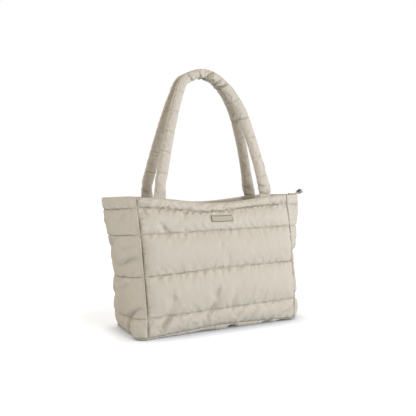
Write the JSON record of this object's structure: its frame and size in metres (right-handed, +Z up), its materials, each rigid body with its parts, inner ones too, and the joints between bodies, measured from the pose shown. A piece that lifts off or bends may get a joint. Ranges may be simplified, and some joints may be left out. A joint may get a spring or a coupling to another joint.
{
  "type": "puffer tote bag",
  "caption": "Quilted, filled tote bag with pointed open gussets, two padded shoulder straps, a bare patch and an open zip.",
  "frame": {"origin": "on the ground under the middle of the base, halfway between the front and back side seams", "axes": "+X towards the bag's right, where the zip's slider is; -Y out of the front; +Z up"},
  "size_m": [0.5441, 0.1871, 0.5911],
  "materials": {
    "shell": "soft matt woven nylon with a faint sheen",
    "strap": "soft matt woven nylon with a faint sheen",
    "base": "soft matt woven nylon",
    "patch": "bare woven patch with a thin border",
    "zip_tape": "matt woven tape",
    "zip_metal": "dark gunmetal"
  },
  "bodies": {
    "bag": {"front_panel": "shell", "back_panel": "shell", "left_gusset": "shell", "right_gusset": "shell", "bottom_panel": "base", "front_handle": "strap", "back_handle": "strap", "label_patch": "patch", "zip_tape_front": "zip_tape", "zip_tape_back": "zip_tape", "zip_end_tab": "zip_tape", "zip_slider": "zip_metal"},
    "pull": {"zip_pull": "zip_metal"}
  },
  "joints": [
    {"name": "pull_hinge", "type": "hinge", "parent": "bag", "child": "pull", "pos_m": [0.27167, 0, 0.31042], "axis": [0, 1, 0], "range_deg": [0, 150]}
  ]
}
